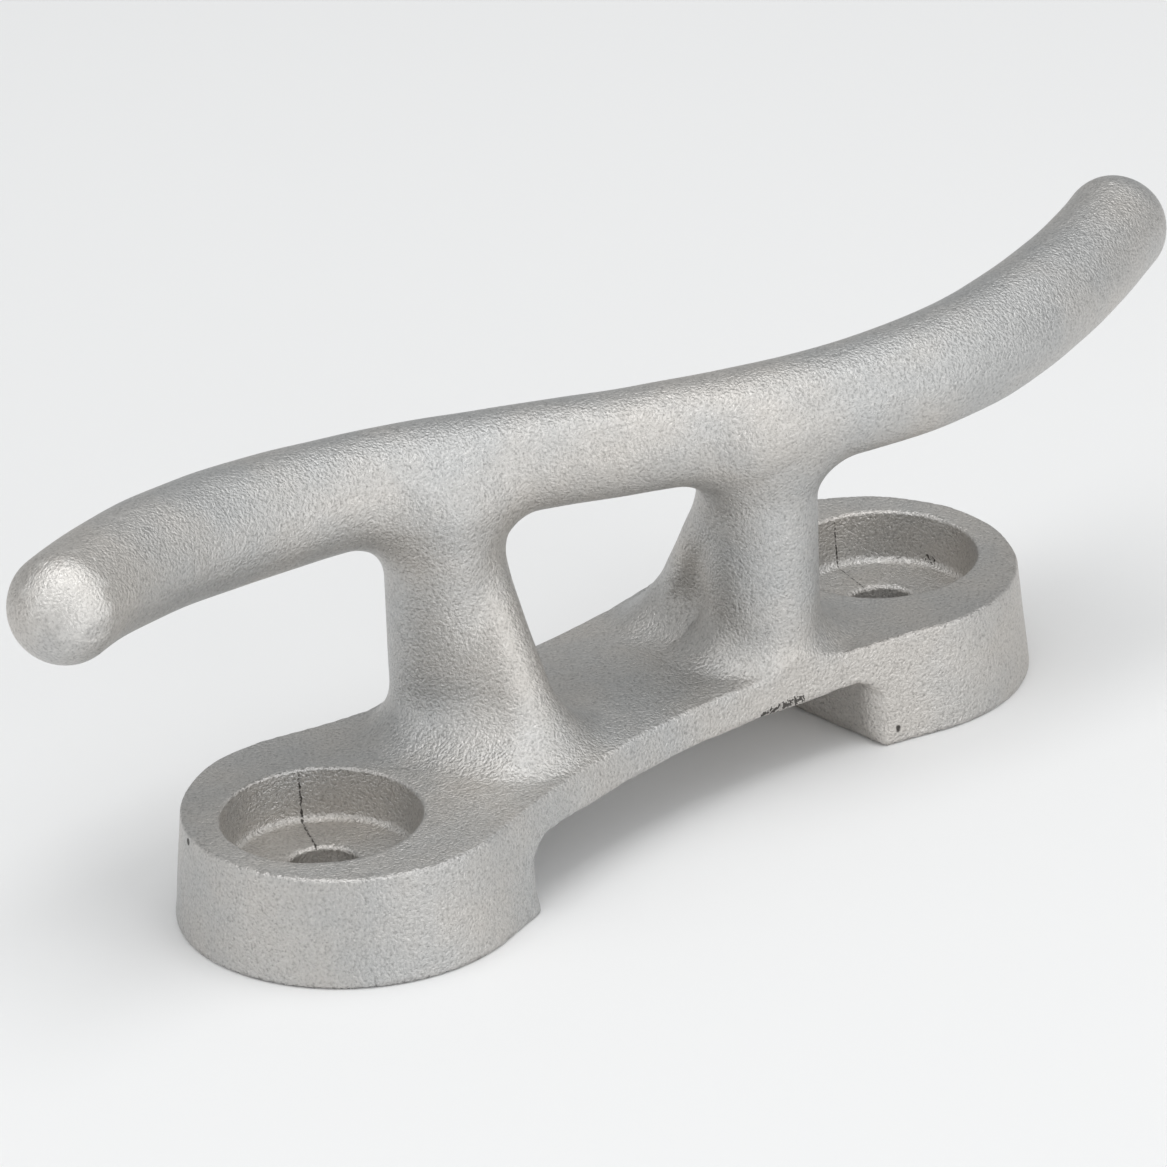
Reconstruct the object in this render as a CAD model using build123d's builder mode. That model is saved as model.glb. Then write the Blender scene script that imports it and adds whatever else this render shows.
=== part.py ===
from build123d import *
import math
import os

os.makedirs("parts", exist_ok=True)

# Open-base S-type mooring cleat, one sand-cast aluminium piece, millimetres, +Z up.
# The origin is on the mounting face, midway between the two bolt holes.
# X runs along the line of the bolt holes.  The casting is unchanged by a half turn about Z.

# Base: two round end pads joined by a waisted bridge
hole_spacing = 141.0
base_height = 20.7
pad_centre_x = 64.0
pad_radius = 30.2          # at the top face
waist_half_width = 20.4    # at the top face
side_draft = 5.2           # degrees, the flanks widen downward
top_edge_radius = 0.7
bottom_edge_radius = 0.7

# Relief under the bridge, open to both long sides
relief_height = 13.7
relief_half_length = 41.7  # at the relief ceiling
relief_draft = 1.0         # extra half length at the mounting face
relief_corner_radius = 3.0
cut_reach = 50.0           # past every flank

# Bolt hole with a cast counterbore that takes a washer
hole_radius = 6.5
counterbore_depth = 9.9
counterbore_floor_radius = 17.5
counterbore_mouth_radius = 18.1
counterbore_floor_fillet = 1.2
counterbore_rim_fillet = 0.6

# Horn: a round bar whose axis is an S in plan and rises gently to the tips, slim at mid
# length and full over the posts
horn_length = 254.0
horn_radius_tip = 10.15
# sideways position, height and radius along the horn, as powers of x / power_scale
power_scale = 120.0
horn_sway = (-62.9, 81.1, -45.7, 14.6)   # odd powers
horn_rise = (68.0, 0.3, 11.5, -3.4)      # even powers
horn_thickness = (9.7, 7.0, -13.5, 7.0)  # even powers
# past droop_start the arms droop a little, by the square of the distance
droop_start = 80.0
droop_scale = 40.0
droop_down = 2.4
horn_stations = 17

# Posts: an upright round column under the horn, with a round rib that leans against its
# inner side.  (x, y, radius) for the post on the +X side.
column = (29.0, -11.1, 10.4)
rib_foot = (27.2, 10.4, 6.0)   # at the base's top
rib_head = (24.6, -17.3, 6.5)  # at the horn's axis
# height above the base's top, and how far the foot flares there
foot_flare = ((-2.0, 5.6), (0.0, 4.2), (1.3, 2.8), (3.2, 1.5), (6.5, 0.4), (14.0, 0.0), (24.0, 0.0), (32.0, 0.0))
# height above the base's top, and the two circles that the head widens to along the horn
head_flare = (
    (38.0, (30.6, -13.0, 10.2), (24.6, -11.6, 8.4)),
    (41.5, (33.6, -15.2, 9.4), (22.6, -11.4, 8.8)),
    (45.0, (36.0, -16.8, 8.4), (21.0, -10.6, 8.4)),
)
section_points = 16

tip_x = horn_length / 2 - horn_radius_tip
base_spread = base_height * math.tan(math.radians(side_draft))


def base_outline(spread):
    """Waisted outline of the base, grown outward by spread."""
    waist_radius = (pad_centre_x**2 + waist_half_width**2 - pad_radius**2) / (
        2 * (pad_radius - waist_half_width)
    )
    waist_centre_y = waist_half_width + waist_radius
    inner = waist_radius - spread
    outer = pad_radius + spread
    turn = math.degrees(math.atan2(pad_centre_x, waist_centre_y))
    with BuildLine() as line:
        CenterArc((pad_centre_x, 0), outer, -90 - turn, 180 + 2 * turn)
        CenterArc((0, waist_centre_y), inner, -90 - turn, 2 * turn)
        CenterArc((-pad_centre_x, 0), outer, 90 - turn, 180 + 2 * turn)
        CenterArc((0, -waist_centre_y), inner, 90 - turn, 2 * turn)
    return line.line


def post_outline(broad, narrow, half_turn):
    """Smooth closed outline round two circles; half_turn -1 gives the post on the -X side."""
    points = []
    for step in range(section_points):
        angle = 2 * math.pi * step / section_points
        out = Vector(math.cos(angle), math.sin(angle))
        x, y, radius = max((broad, narrow), key=lambda c: c[0] * out.X + c[1] * out.Y + c[2])
        points.append((Vector(x, y) + out * radius) * half_turn)
    with BuildLine() as line:
        Spline(points, periodic=True)
    return line.line


def powers(x, factors, first):
    """Sum of every second power of x / power_scale, from the power first."""
    u = x / power_scale
    return sum(factor * u ** (first + 2 * n) for n, factor in enumerate(factors))


def horn_axis(x):
    """Point on the horn axis above plan position x."""
    beyond = max(abs(x) - droop_start, 0) / droop_scale
    return Vector(
        x,
        powers(x, horn_sway, 1),
        powers(x, horn_rise, 0) - droop_down * beyond**2,
    )


def horn_plane(x, outward=1):
    """Plane square to the horn axis at x, facing +X or, with outward -1, facing -X."""
    along = (horn_axis(x + 0.1) - horn_axis(x - 0.1)) * outward
    return Plane(origin=horn_axis(x), x_dir=along.cross(Vector(0, 0, 1)), z_dir=along)


def post_sections():
    """Height, broad circle and narrow circle of each section of the +X post."""
    x, y, radius = column
    for above, flare in foot_flare:
        part_way = max(above, 0) / (horn_rise[0] - base_height)
        rib = [low + (high - low) * part_way for low, high in zip(rib_foot, rib_head)]
        # the flare stays inside the base on the column's outer side
        yield above, (x, y + flare, radius + flare), (rib[0], rib[1], rib[2] + flare)
    yield from head_flare


with BuildPart() as cleat_casting:
    # Base body, drafted on all sides
    with BuildSketch(Plane.XY):
        add(base_outline(base_spread))
        make_face()
    with BuildSketch(Plane.XY.offset(base_height)):
        add(base_outline(0))
        make_face()
    loft(ruled=True)
    top_edges = cleat_casting.faces().sort_by(Axis.Z)[-1].edges()
    fillet(top_edges, top_edge_radius)

    # Relief under the bridge
    with BuildSketch(Plane.XZ):
        with BuildLine():
            Polyline(
                (-relief_half_length - relief_draft, 0),
                (-relief_half_length, relief_height),
                (relief_half_length, relief_height),
                (relief_half_length + relief_draft, 0),
                close=True,
            )
        make_face()
    extrude(amount=cut_reach, both=True, mode=Mode.SUBTRACT)
    ceiling_edges = (
        cleat_casting.edges()
        .filter_by(Axis.Y)
        .filter_by_position(Axis.Z, relief_height - 0.1, relief_height + 0.1)
    )
    fillet(ceiling_edges, relief_corner_radius)
    bottom_edges = cleat_casting.edges().filter_by_position(Axis.Z, -0.01, 0.01)
    fillet(bottom_edges, bottom_edge_radius)

    # Posts, each lofted from inside the base to inside the horn
    for half_turn in (1, -1):
        for above, broad, narrow in post_sections():
            with BuildSketch(Plane.XY.offset(base_height + above)):
                add(post_outline(broad, narrow, half_turn))
                make_face()
        loft()

    # Horn, lofted through round sections square to its axis, with a round tip at each end
    for station in range(horn_stations):
        x = tip_x * (2 * station / (horn_stations - 1) - 1)
        with BuildSketch(horn_plane(x)):
            Circle(powers(x, horn_thickness, 0))
    loft()
    for side in (-1, 1):
        with Locations(horn_plane(side * tip_x, side)):
            Sphere(
                horn_radius_tip,
                arc_size1=0,
                arc_size2=90,
                align=(Align.CENTER, Align.CENTER, Align.MIN),
            )

    # Bolt holes and their counterbores
    floor_height = base_height - counterbore_depth
    mouth_slope = (counterbore_mouth_radius - counterbore_floor_radius) / counterbore_depth
    mouth_top = base_height + 1.0
    for side in (-1, 1):
        hole_x = side * hole_spacing / 2
        with BuildSketch(Plane.XZ):
            with BuildLine():
                Polyline(
                    (hole_x, -1),
                    (hole_x + hole_radius, -1),
                    (hole_x + hole_radius, floor_height),
                    (hole_x + counterbore_floor_radius, floor_height),
                    (hole_x + counterbore_mouth_radius + mouth_slope, mouth_top),
                    (hole_x, mouth_top),
                    close=True,
                )
            make_face()
        revolve(axis=Axis((hole_x, 0, 0), (0, 0, 1)), mode=Mode.SUBTRACT)
    for radius, height, rounding in (
        (counterbore_floor_radius, floor_height, counterbore_floor_fillet),
        (counterbore_mouth_radius, base_height, counterbore_rim_fillet),
    ):
        level = cleat_casting.edges().filter_by_position(Axis.Z, height - 0.01, height + 0.01)
        rings = level.filter_by(GeomType.CIRCLE).filter_by(lambda e: abs(e.radius - radius) < 0.01)
        fillet(rings, rounding)

cleat_casting.part.label = "cleat_casting"
export_step(cleat_casting.part, "parts/cleat_casting.step")
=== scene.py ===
import math

import bpy
import numpy as np
from mathutils import Matrix, Vector


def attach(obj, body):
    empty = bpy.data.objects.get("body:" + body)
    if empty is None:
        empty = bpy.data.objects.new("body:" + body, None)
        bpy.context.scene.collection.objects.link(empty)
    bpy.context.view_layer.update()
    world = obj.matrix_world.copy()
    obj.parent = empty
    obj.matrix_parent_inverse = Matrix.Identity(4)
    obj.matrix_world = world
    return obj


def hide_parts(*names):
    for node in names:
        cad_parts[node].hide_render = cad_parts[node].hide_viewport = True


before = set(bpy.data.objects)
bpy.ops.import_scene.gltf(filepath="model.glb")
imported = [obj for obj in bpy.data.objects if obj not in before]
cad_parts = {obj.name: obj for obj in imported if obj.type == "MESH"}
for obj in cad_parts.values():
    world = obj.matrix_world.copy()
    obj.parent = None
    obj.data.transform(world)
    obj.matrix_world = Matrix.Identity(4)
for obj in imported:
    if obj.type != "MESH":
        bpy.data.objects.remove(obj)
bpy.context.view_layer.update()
MM = 0.001

# ---------------------------------------------------------------- dimensions, millimetres
hole_spacing = 141.0
base_height = 20.7
pad_centre_x = 64.0
pad_radius = 30.2
waist_half_width = 20.4
side_draft = math.tan(math.radians(5.2))
base_top_edge = 0.7
base_bottom_edge = 0.7

crown_height = 1.6  # the bridge's top is domed between the posts
crown_half_length = 52.0
crown_half_width = 21.0

relief_height = 13.7
relief_half_length = 41.7
relief_draft = 0.07
relief_corner = 3.0
# rounding where the relief meets the flanks: small at its ceiling, full on its upright ends
relief_end_at = (0.0, 4.0, 10.5, 13.7)
relief_end_edge = (2.0, 4.0, 4.0, 0.8)

hole_radius = 6.5
hole_edge = 0.9
counterbore_depth = 9.9
counterbore_floor_radius = 17.5
counterbore_mouth_radius = 18.1
counterbore_floor_fillet = 1.4
counterbore_rim_edge = 0.5
sharp = 0.1

# the horn's axis and thickness, as powers of x / power_scale
power_scale = 120.0
horn_sway = (-62.9, 81.1, -45.7, 14.6)  # odd powers, sideways
horn_rise = (68.0, 0.3, 11.5, -3.4)  # even powers, upwards
horn_radius = (9.7, 7.0, -13.5, 7.0)  # even powers
horn_tips = (-114.0, 119.8)
# past droop_start the arms droop a little, the -X arm more than the +X arm
droop_start = 80.0
droop_scale = 40.0
droop_sway = -1.0
droop_down = (3.1, 1.7)
# the +X arm is slightly slimmer at its end
horn_thinning = 0.4
thinning_start = 30.0
thinning_scale = 90.0

# each post: an upright round column with a leaning rib on its inner side; (x, y, radius)
column = (29.0, -11.1, 10.4)
rib_root = (31.8, -9.5, 8.0)
rib_foot = (27.2, 10.4, 6.0)
rib_head = (24.6, -17.3, 6.5)
rib_valley = 2.5
rib_lean = 0.9  # true distance from the leaning rib, per distance in plan
post_start = 17.0
post_end = 68.0
post_end_edge = 5.0
# the foot's fillet, smaller near the base's outline so that it stays on the base's top
foot_blend = 10.0
foot_blend_at_edge = 5.5
foot_blend_reach = 12.0  # from the base's outline to where the foot's fillet is full size
post_head_blend = 8.0

unevenness = 0.10
flat_below = 3.0  # the unevenness fades out from here down to the mounting face
wave_count = 14
wave_shortest = 9.0
wave_longest = 45.0


# ---------------------------------------------------------------- distance fields
def union(a, b, radius):
    """Joins two solids with a fillet of about the given radius."""
    corner = np.sqrt(np.maximum(radius - a, 0) ** 2 + np.maximum(radius - b, 0) ** 2)
    return np.maximum(radius, np.minimum(a, b)) - corner


def common(a, b, radius):
    """Where both solids are, with the outer edge rounded."""
    return -union(-a, -b, radius)


def base_outline(x, y):
    """Distance in plan from the base's waisted outline at its top."""
    x, y = np.abs(x), np.abs(y)
    waist_radius = (pad_centre_x**2 + waist_half_width**2 - pad_radius**2) / (
        2 * (pad_radius - waist_half_width)
    )
    waist_centre = waist_half_width + waist_radius
    in_waist = np.arctan2(x, waist_centre - y) < math.atan2(pad_centre_x, waist_centre)
    waist = waist_radius - np.hypot(x, y - waist_centre)
    pad = np.hypot(x - pad_centre_x, y) - pad_radius
    return np.where(in_waist, waist, pad)


def hull(x, y, broad, narrow):
    """Distance in plan from the hull of two circles."""
    ax, ay, ar = broad
    bx, by, br = narrow
    length = np.hypot(bx - ax, by - ay)
    along_x, along_y = (bx - ax) / length, (by - ay) / length
    s = (x - ax) * along_x + (y - ay) * along_y
    n = np.abs((y - ay) * along_x - (x - ax) * along_y)
    lean = (ar - br) / length
    upright = np.sqrt(1 - lean**2)
    reach = s * upright - n * lean
    side = n * upright + s * lean - ar
    near_a = np.hypot(n, s) - ar
    near_b = np.hypot(n, s - length) - br
    return np.where(reach < 0, near_a, np.where(reach > length * upright, near_b, side))


def post_field(x, y, z):
    """The post under the +X arm of the horn."""
    rise = (z - base_height) / (post_end - base_height)
    rib = [low + (high - low) * rise for low, high in zip(rib_foot, rib_head)]
    round_column = np.hypot(x - column[0], y - column[1]) - column[2]
    post = union(round_column, hull(x, y, rib_root, rib) * rib_lean, rib_valley)
    return common(common(post, z - post_end, post_end_edge), post_start - z, sharp)


def foot_field(x, y, z):
    """Base with the +X post on it, the fillet kept inside the base's outline."""
    outline = base_outline(x, y) - np.maximum(base_height - z, 0) * side_draft
    dome = np.maximum(1 - (y / crown_half_width) ** 2, 0)
    dome = dome * np.maximum(1 - (x / crown_half_length) ** 4, 0)
    body = common(outline, z - base_height - crown_height * dome, base_top_edge)
    body = common(body, -z, base_bottom_edge)
    side = np.abs(x) - relief_half_length - (relief_height - z) * relief_draft
    end_edge = np.interp(z, relief_end_at, relief_end_edge)
    body = common(body, -common(side, z - relief_height, relief_corner), end_edge)
    inward = np.clip(-base_outline(x, y) / foot_blend_reach, 0, 1)
    blend = foot_blend_at_edge + (foot_blend - foot_blend_at_edge) * inward**2 * (3 - 2 * inward)
    return common(union(post_field(x, y, z), body, blend), outline, base_top_edge)


def powers(u, factors, first):
    """Sum of every second power of u, and its slope."""
    value, slope = 0, 0
    for n, factor in enumerate(factors):
        p = first + 2 * n
        value = value + factor * u**p
        slope = slope + p * factor * u ** max(p - 1, 0)
    return value, slope


def horn_axis(x):
    """Sideways position and height of the horn's axis, with their slopes."""
    sway, sway_slope = powers(x / power_scale, horn_sway, 1)
    rise, rise_slope = powers(x / power_scale, horn_rise, 0)
    beyond = np.maximum(np.abs(x) - droop_start, 0) / droop_scale
    down = np.where(x < 0, droop_down[0], droop_down[1])
    bend = 2 * beyond / droop_scale * np.sign(x)
    return (
        sway + droop_sway * beyond**2,
        rise - down * beyond**2,
        sway_slope / power_scale + droop_sway * bend,
        rise_slope / power_scale - down * bend,
    )


def horn_field(x, y, z):
    """Round bar about the S-curved axis, with a round tip at each end."""
    at = np.clip(x, *horn_tips)
    for _ in range(5):
        axis_y, axis_z, slope_y, slope_z = horn_axis(at)
        ahead = (x - at) + (y - axis_y) * slope_y + (z - axis_z) * slope_z
        at = np.clip(at + ahead / (1 + slope_y**2 + slope_z**2), *horn_tips)
    axis_y, axis_z, slope_y, slope_z = horn_axis(at)
    radius = powers(at / power_scale, horn_radius, 0)[0]
    radius = radius - horn_thinning * np.maximum(at - thinning_start, 0) / thinning_scale
    return np.sqrt((x - at) ** 2 + (y - axis_y) ** 2 + (z - axis_z) ** 2) - radius


def socket_field(x, y, z):
    """The bolt hole and its counterbore on the +X side."""
    radius = np.hypot(x - hole_spacing / 2, y)
    floor = base_height - counterbore_depth
    slope = (counterbore_mouth_radius - counterbore_floor_radius) / counterbore_depth
    wall = radius - counterbore_floor_radius - (z - floor) * slope
    bowl = common(common(wall, floor - z, counterbore_floor_fillet), z - floor - 20, sharp)
    return union(bowl, common(radius - hole_radius, z - floor - 2, sharp), hole_edge)


rng = np.random.default_rng(7)
wave_heading = rng.normal(size=(wave_count, 3))
wave_heading /= np.linalg.norm(wave_heading, axis=1)[:, None]
wave_length = np.geomspace(wave_shortest, wave_longest, wave_count)
wave_phase = rng.uniform(0, 2 * math.pi, wave_count)


def lumps(x, y, z):
    """Slow unevenness of a sand-cast face, about -1 to 1."""
    total = 0
    for (hx, hy, hz), length, phase in zip(wave_heading, wave_length, wave_phase):
        total = total + np.sin((hx * x + hy * y + hz * z) * (2 * math.pi / length) + phase)
    return total / math.sqrt(2 * len(wave_length))


def casting_field(x, y, z):
    """The whole casting; the second post and socket are the first ones turned half round."""
    half_turn = np.where(x < 0, -1.0, 1.0)
    solid = union(foot_field(x * half_turn, y * half_turn, z), horn_field(x, y, z), post_head_blend)
    solid = common(solid, -socket_field(x * half_turn, y * half_turn, z), counterbore_rim_edge)
    return solid + unevenness * np.clip(z / flat_below, 0, 1) * lumps(x, y, z)


# ---------------------------------------------------------------- surface of a field
def surface_net(field, axes):
    """Quads on the zero level of a field sampled on a grid, one point to each crossed cell."""
    inside = field < 0
    count = np.zeros([n - 1 for n in field.shape], np.int8)
    corners = [(i, j, k) for i in (0, 1) for j in (0, 1) for k in (0, 1)]
    for i, j, k in corners:
        count += inside[i : i + count.shape[0], j : j + count.shape[1], k : k + count.shape[2]]
    cells = np.argwhere((count > 0) & (count < 8))
    index = np.full(count.shape, -1, np.int64)
    index[tuple(cells.T)] = np.arange(len(cells))
    total = np.zeros((len(cells), 3))
    hits = np.zeros(len(cells))
    for corner in corners:
        for axis in range(3):
            if corner[axis]:
                continue
            far = list(corner)
            far[axis] = 1
            a = field[tuple((cells + corner).T)]
            b = field[tuple((cells + far).T)]
            crossed = (a < 0) != (b < 0)
            share = np.where(crossed, a / np.where(crossed, a - b, 1), 0)
            point = np.tile(np.array(corner, float), (len(cells), 1))
            point[:, axis] = share
            total += point * crossed[:, None]
            hits += crossed
    local = total / hits[:, None]
    points = np.empty_like(local)
    for axis in range(3):
        start = axes[axis][cells[:, axis]]
        step = axes[axis][cells[:, axis] + 1] - start
        points[:, axis] = start + local[:, axis] * step
    quads = []
    for axis in range(3):
        u, v = (axis + 1) % 3, (axis + 2) % 3
        low = [slice(None)] * 3
        high = [slice(None)] * 3
        low[axis], high[axis] = slice(None, -1), slice(1, None)
        low[u] = high[u] = low[v] = high[v] = slice(1, -1)
        leaving = inside[tuple(low)] & ~inside[tuple(high)]
        entering = ~inside[tuple(low)] & inside[tuple(high)]
        for mask, order in ((leaving, (0, 1, 3, 2)), (entering, (0, 2, 3, 1))):
            edges = np.argwhere(mask)
            edges[:, u] += 1
            edges[:, v] += 1
            ring = []
            for du, dv in ((-1, -1), (0, -1), (-1, 0), (0, 0)):
                cell = edges.copy()
                cell[:, u] += du
                cell[:, v] += dv
                ring.append(index[tuple(cell.T)])
            quads.append(np.stack([ring[n] for n in order], 1))
    return points, np.concatenate(quads)


def settle(points, rounds=3, step=0.05):
    """Moves points onto the casting's surface and gives the outward direction there."""
    for turn in range(rounds + 1):
        here = casting_field(*points.T)
        slope = np.empty_like(points)
        for axis in range(3):
            shift = np.zeros(3)
            shift[axis] = step
            ahead = casting_field(*(points + shift).T)
            behind = casting_field(*(points - shift).T)
            slope[:, axis] = (ahead - behind) / (2 * step)
        steep = np.maximum((slope**2).sum(1), 0.25)
        if turn < rounds:
            points = points - np.clip(here / steep, -0.5, 0.5)[:, None] * slope
    return points, slope / np.sqrt(steep)[:, None]


def casting_piece(name, pitch):
    """Mesh of the casting, finer up and down where the base has its edges."""
    xs = np.arange(-129, 135, pitch)
    ys = np.arange(-38, 38 + pitch, pitch)
    zs = np.concatenate([np.arange(-1.5, 23.5, pitch * 0.85), np.arange(23.5, 86, pitch * 1.25)])
    field = np.empty((len(xs), len(ys), len(zs)), np.float32)
    for start in range(0, len(xs), 20):
        block = np.meshgrid(xs[start : start + 20], ys, zs, indexing="ij")
        field[start : start + 20] = casting_field(*block)
    points, quads = surface_net(field, (xs, ys, zs))
    points, outward = settle(points)
    mesh = bpy.data.meshes.new(name)
    mesh.vertices.add(len(points))
    mesh.vertices.foreach_set("co", (points * MM).ravel())
    mesh.loops.add(quads.size)
    mesh.loops.foreach_set("vertex_index", quads.ravel())
    mesh.polygons.add(len(quads))
    mesh.polygons.foreach_set("loop_start", np.arange(0, quads.size, 4))
    mesh.polygons.foreach_set("loop_total", np.full(len(quads), 4))
    mesh.update(calc_edges=True)
    mesh.validate()
    mesh.shade_smooth()
    mesh.normals_split_custom_set_from_vertices(outward.tolist())
    piece = bpy.data.objects.new(name, mesh)
    bpy.context.scene.collection.objects.link(piece)
    print("casting", len(points), "points", len(quads), "quads")
    return piece


casting = casting_piece("cleat_surface", 0.86)
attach(casting, "root")
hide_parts("cleat_casting")

# ---------------------------------------------------------------- material
material = bpy.data.materials.new("cast_aluminium")
material.use_nodes = True
nodes, links = material.node_tree.nodes, material.node_tree.links
shader = nodes["Principled BSDF"]
shader.inputs["Metallic"].default_value = 1.0
place = nodes.new("ShaderNodeTexCoord").outputs["Object"]


def feed(socket, value):
    """Gives a socket a number, a vector or colour, or another node's output."""
    if isinstance(value, bpy.types.NodeSocket):
        links.new(value, socket)
    else:
        socket.default_value = value


def noise(size, detail=2.0, distortion=0.0):
    """Noise whose features are about this many millimetres across."""
    made = nodes.new("ShaderNodeTexNoise")
    feed(made.inputs["Vector"], place)
    feed(made.inputs["Scale"], 1 / (size * MM))
    feed(made.inputs["Detail"], detail)
    feed(made.inputs["Distortion"], distortion)
    return made.outputs["Fac"]


def spread(value, low, high, to_low=0.0, to_high=1.0):
    """Moves the range low..high of a value to to_low..to_high, and clamps it."""
    made = nodes.new("ShaderNodeMapRange")
    for socket, number in zip(made.inputs, (value, low, high, to_low, to_high)):
        feed(socket, number)
    return made.outputs["Result"]


def maths(operation, a, b=0.0):
    made = nodes.new("ShaderNodeMath")
    made.operation = operation
    feed(made.inputs[0], a)
    feed(made.inputs[1], b)
    return made.outputs[0]


def vector(operation, a, b):
    made = nodes.new("ShaderNodeVectorMath")
    made.operation = operation
    feed(made.inputs[0], a)
    feed(made.inputs[1], b)
    return made.outputs["Value"] if operation in ("DOT_PRODUCT", "DISTANCE") else made.outputs[0]


def mix(amount, a, b):
    made = nodes.new("ShaderNodeMix")
    made.data_type = "RGBA"
    for socket, value in zip((made.inputs[0], made.inputs[6], made.inputs[7]), (amount, a, b)):
        feed(socket, value)
    return made.outputs[2]


def patch(centre, radius, edge=0.5):
    """1 inside a ragged patch about a point in millimetres, 0 outside it."""
    away = vector("DISTANCE", place, Vector(centre) * MM)
    ragged = maths("ADD", away, spread(blotch, 0.3, 0.7, -edge * radius * MM, edge * radius * MM))
    return spread(ragged, radius * MM * 0.75, radius * MM, 1.0, 0.0)


grain = noise(0.52, 2.0, 0.1)
wrinkle = noise(1.4, 2.0, 0.3)
blotch = noise(4.0, 3.0)
cloud = noise(30.0, 3.0)

warm = (0.60, 0.575, 0.545, 1)
cool = (0.53, 0.53, 0.525, 1)
bright = (0.86, 0.84, 0.81, 1)
dark = (0.06, 0.055, 0.05, 1)
tone = mix(spread(cloud, 0.38, 0.62), cool, warm)
tone = mix(spread(grain, 0.50, 0.75, 0, 0.30), tone, bright)
tone = mix(spread(grain, 0.46, 0.25, 0, 0.35), tone, dark)

# the ground and rubbed end of the -X arm, painted lighter: partly its real polish, partly a painted
# highlight where its flat facet, not modelled, faces the light
rubbed_end_and_highlight = patch((-118.6, 7.5, 78.3), 8.5, 0.45)
tone = mix(maths("MULTIPLY", rubbed_end_and_highlight, 0.4), tone, bright)



def streak(start, end, width):
    """Broken dark line of burnt-on sand between two points in millimetres."""
    start, end = Vector(start) * MM, Vector(end) * MM
    run = (end - start).length
    along = vector("DOT_PRODUCT", vector("SUBTRACT", place, start), (end - start) / run)
    away = vector("DISTANCE", place, start)
    across = maths("SQRT", maths("SUBTRACT", maths("POWER", away, 2), maths("POWER", along, 2)))
    line = maths("LESS_THAN", across, spread(grain, 0.38, 0.62, 0.0, width * MM))
    line = maths("MULTIPLY", line, maths("GREATER_THAN", along, 0.0))
    return maths("MULTIPLY", line, maths("LESS_THAN", along, run))


# dark marks: under the bridge's near edge, a corner of the relief, pad edges, counterbore
pockets = maths(
    "MAXIMUM",
    streak((17.5, -21.9, 14.3), (27.5, -22.7, 14.9), 1.0),
    streak((86.6, 2.0, 11.8), (88.2, 5.5, 12.4), 0.8),
)
for centre, radius in (
    ((46.3, -28.0, 3.1), 1.0),
    ((46.0, -27.9, 5.4), 0.6),
    ((-91.6, 12.0, 19.3), 0.7),
):
    pockets = maths("MAXIMUM", pockets, patch(centre, radius))


separate = nodes.new("ShaderNodeSeparateXYZ")
feed(separate.inputs[0], place)
height_above = separate.outputs["Z"]


def seam(hole_x, angle, widest):
    """Broken dark line where the core halves met, from the bolt hole up the counterbore's wall."""
    turn = math.radians(angle)
    from_hole = vector("SUBTRACT", place, Vector((hole_x, 0, 0)) * MM)
    wander = spread(blotch, 0.3, 0.7, -0.15 * MM, 0.15 * MM)
    across = vector("DOT_PRODUCT", from_hole, Vector((-math.sin(turn), math.cos(turn), 0)))
    across = maths("ABSOLUTE", maths("ADD", across, wander))
    along = vector("DOT_PRODUCT", from_hole, Vector((math.cos(turn), math.sin(turn), 0)))
    width = spread(grain, 0.42, 0.62, 0.0, widest * MM)
    line = maths("LESS_THAN", across, width)
    line = maths("MULTIPLY", line, maths("LESS_THAN", height_above, base_height * MM))
    lowest = base_height - counterbore_depth - 0.5
    line = maths("MULTIPLY", line, maths("GREATER_THAN", height_above, lowest * MM))
    line = maths("MULTIPLY", line, maths("GREATER_THAN", along, 5 * MM))
    return maths("MULTIPLY", line, maths("LESS_THAN", along, 18.1 * MM))


seams = maths("MAXIMUM", seam(-hole_spacing / 2, 61, 0.32), seam(hole_spacing / 2, 73, 0.2))
tone = mix(maths("MULTIPLY", maths("MAXIMUM", pockets, seams), 0.92), tone, dark)
links.new(tone, shader.inputs["Base Color"])
rough = spread(wrinkle, 0.3, 0.7, 0.42, 0.54)
links.new(rough, shader.inputs["Roughness"])

height = maths("ADD", grain, maths("MULTIPLY", wrinkle, 0.45))
height = maths("SUBTRACT", height, maths("MULTIPLY", seams, 1.2))
bump = nodes.new("ShaderNodeBump")
feed(bump.inputs["Strength"], 1.0)
feed(bump.inputs["Distance"], 0.30 * MM)
feed(bump.inputs["Height"], height)
links.new(bump.outputs["Normal"], shader.inputs["Normal"])
casting.data.materials.append(material)

# ---------------------------------------------------------------- floor
floor_mesh = bpy.data.meshes.new("floor")
reach = 3.0
floor_corners = [(-reach, -reach, 0), (reach, -reach, 0), (reach, reach, 0), (-reach, reach, 0)]
floor_mesh.from_pydata(floor_corners, [], [(0, 1, 2, 3)])
floor = bpy.data.objects.new("floor", floor_mesh)
bpy.context.scene.collection.objects.link(floor)
# just under the mounting face, so that the two never lie in one plane
floor.location.z = -0.05 * MM
floor_material = bpy.data.materials.new("floor")
floor_material.use_nodes = True
floor_shader = floor_material.node_tree.nodes["Principled BSDF"]
floor_shader.inputs["Base Color"].default_value = (0.88, 0.88, 0.88, 1)
floor_shader.inputs["Roughness"].default_value = 0.9
floor_mesh.materials.append(floor_material)


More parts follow.
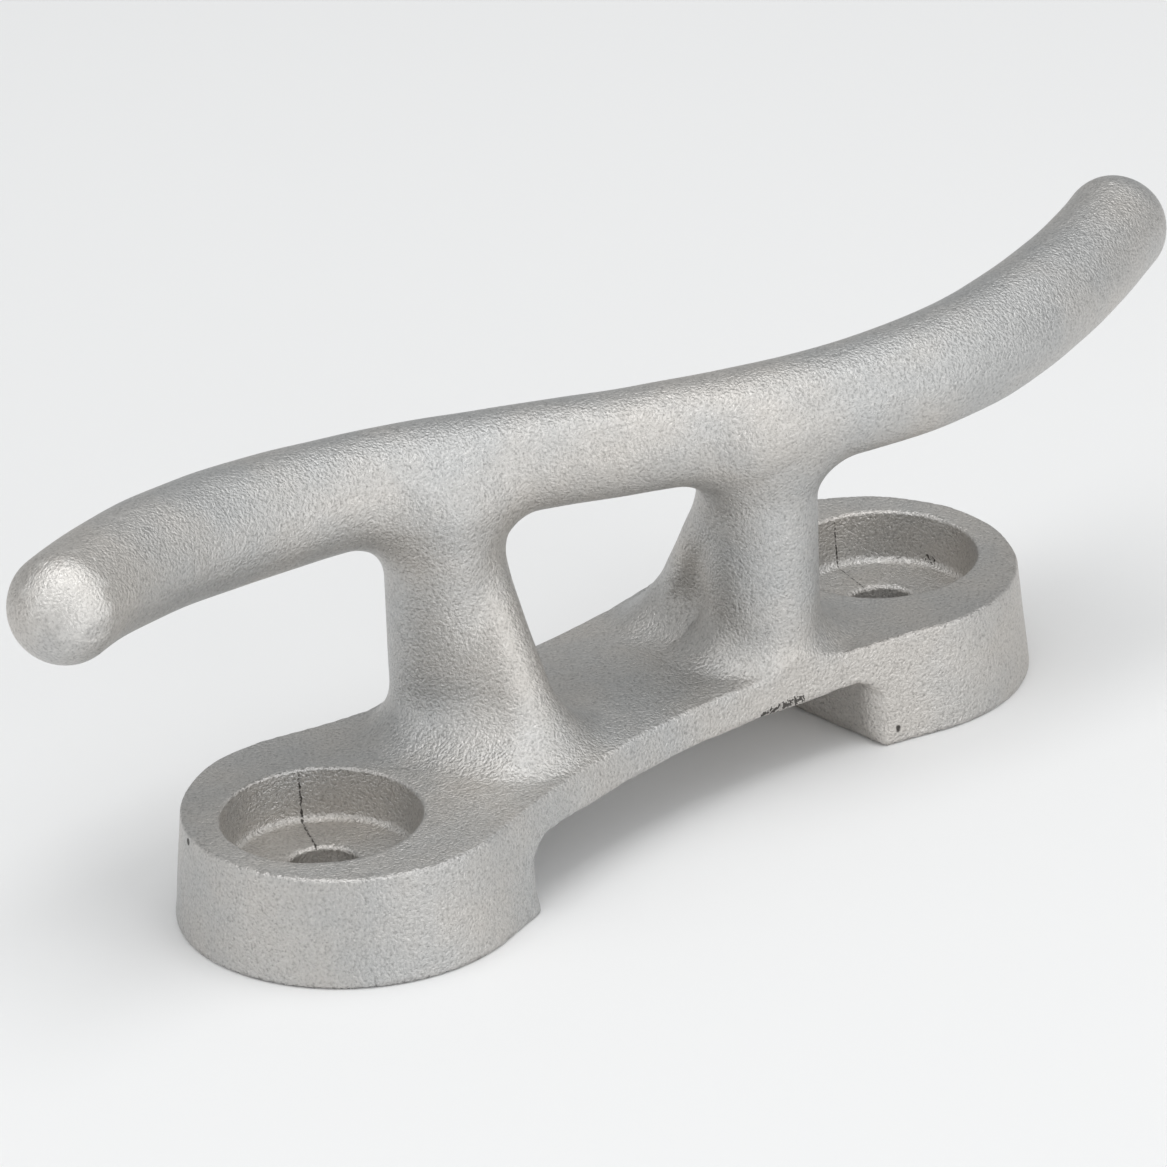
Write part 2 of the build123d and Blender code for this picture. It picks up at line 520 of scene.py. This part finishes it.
# ---------------------------------------------------------------- light
def softbox(name, place, size, power, aim=(0, 0, 0.03)):
    light = bpy.data.lights.new(name, "AREA")
    light.shape = "RECTANGLE"
    light.size, light.size_y = size
    light.energy = power
    lamp = bpy.data.objects.new(name, light)
    bpy.context.scene.collection.objects.link(lamp)
    lamp.location = place
    lamp.rotation_euler = (Vector(aim) - Vector(place)).to_track_quat("-Z", "Y").to_euler()


def around(azimuth, elevation, away=1.6):
    """Point that far from the object, by azimuth from -Y and height angle in degrees."""
    a, e = math.radians(azimuth), math.radians(elevation)
    return Vector((math.sin(a) * math.cos(e), -math.cos(a) * math.cos(e), math.sin(e))) * away


softbox("overhead", around(0, 88), (1.1, 1.1), 8.7)
softbox("front_right", around(2, 20), (1.1, 1.1), 6.7)
softbox("high_front_left", around(-88, 50), (1.1, 1.1), 3.7)
softbox("high_right", around(47, 45), (1.1, 1.1), 2.6)
softbox("left", around(-105, 20), (1.1, 1.1), 2.6)
world = bpy.data.worlds.new("studio")
bpy.context.scene.world = world
world.use_nodes = True
world.node_tree.nodes["Background"].inputs["Color"].default_value = (0.97, 0.99, 1, 1)
world.node_tree.nodes["Background"].inputs["Strength"].default_value = 0.46

# ---------------------------------------------------------------- camera
azimuth = math.radians(-42.83)
elevation = math.radians(26.17)
roll = math.radians(-2.30)
distance = 1.776
aim_right, aim_up = -0.00515, 0.03627
back = Vector(
    (math.sin(azimuth) * math.cos(elevation), -math.cos(azimuth) * math.cos(elevation), math.sin(elevation))
)
level = Vector((math.cos(azimuth), math.sin(azimuth), 0))
rise = back.cross(level)
right = level * math.cos(roll) + rise * math.sin(roll)
up = rise * math.cos(roll) - level * math.sin(roll)
camera_data = bpy.data.cameras.new("camera")
camera_data.sensor_width = 36.0
camera_data.lens = 300.1
camera = bpy.data.objects.new("camera", camera_data)
bpy.context.scene.collection.objects.link(camera)
turn = Matrix((right, up, back)).transposed().to_4x4()
camera.matrix_world = Matrix.Translation(back * distance + right * aim_right + up * aim_up) @ turn
bpy.context.scene.camera = camera
bpy.context.scene.view_settings.view_transform = "Standard"
